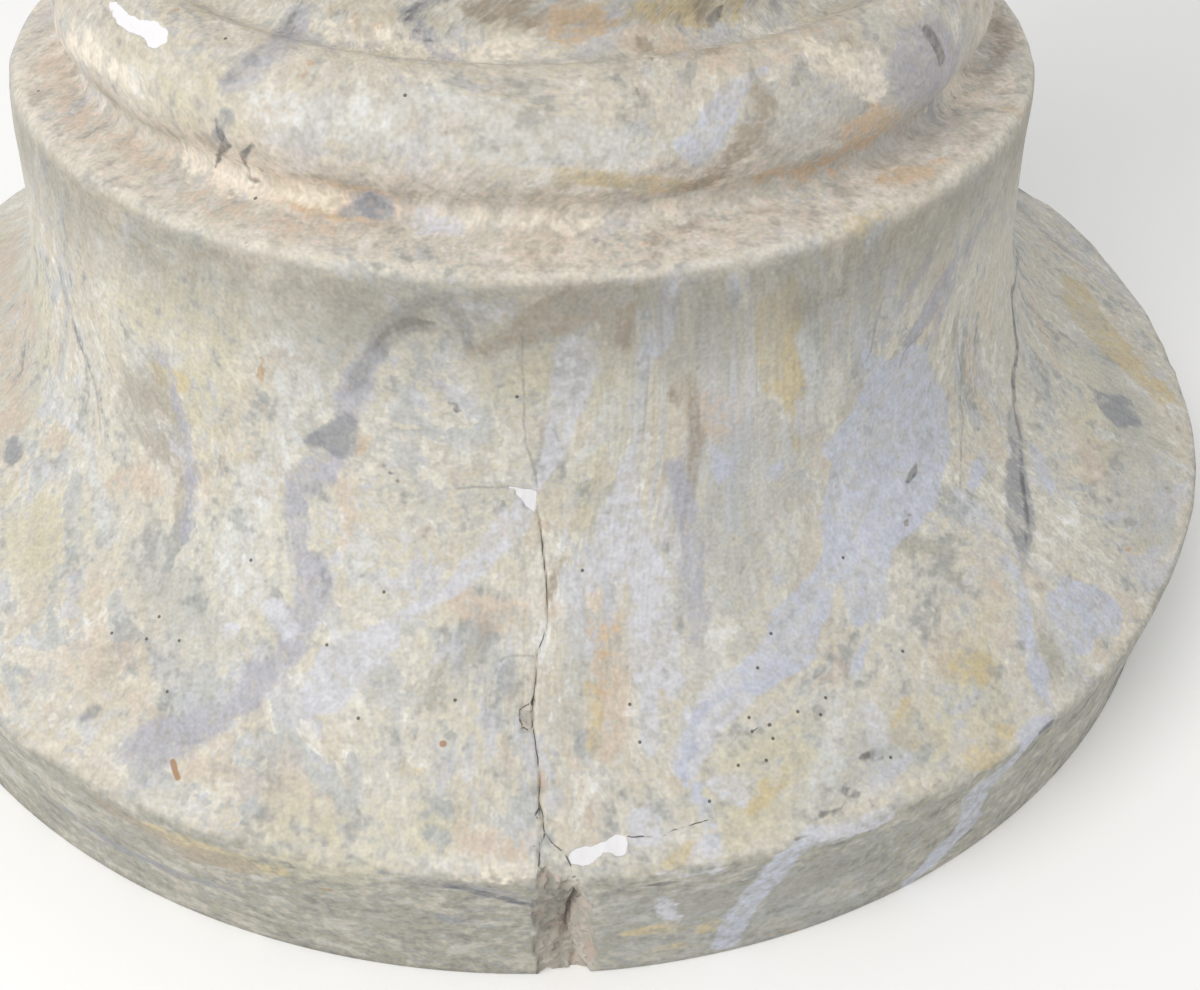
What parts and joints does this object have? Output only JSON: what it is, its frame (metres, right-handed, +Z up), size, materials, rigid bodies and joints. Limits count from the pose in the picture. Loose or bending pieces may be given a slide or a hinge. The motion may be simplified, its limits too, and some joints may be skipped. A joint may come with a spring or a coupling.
{
  "type": "twisted column pedestal",
  "caption": "Round cast pedestal: bell-shaped foot with ledge and torus, shaft of twisted strands, round flat top for a plant, lamp or bust.",
  "frame": {"origin": "middle of the flat underside, on the floor", "axes": "+Z up along the column, -Y towards the side with the cracked and broken rim, +X to its right"},
  "size_m": [0.382, 0.382, 0.965],
  "materials": {
    "painted_plaster": "hand-painted marble imitation on cast plaster, matte with a soft sheen, cracked, chipped and dusty"
  },
  "bodies": {
    "root": {"pedestal": "painted_plaster"}
  },
  "joints": []
}
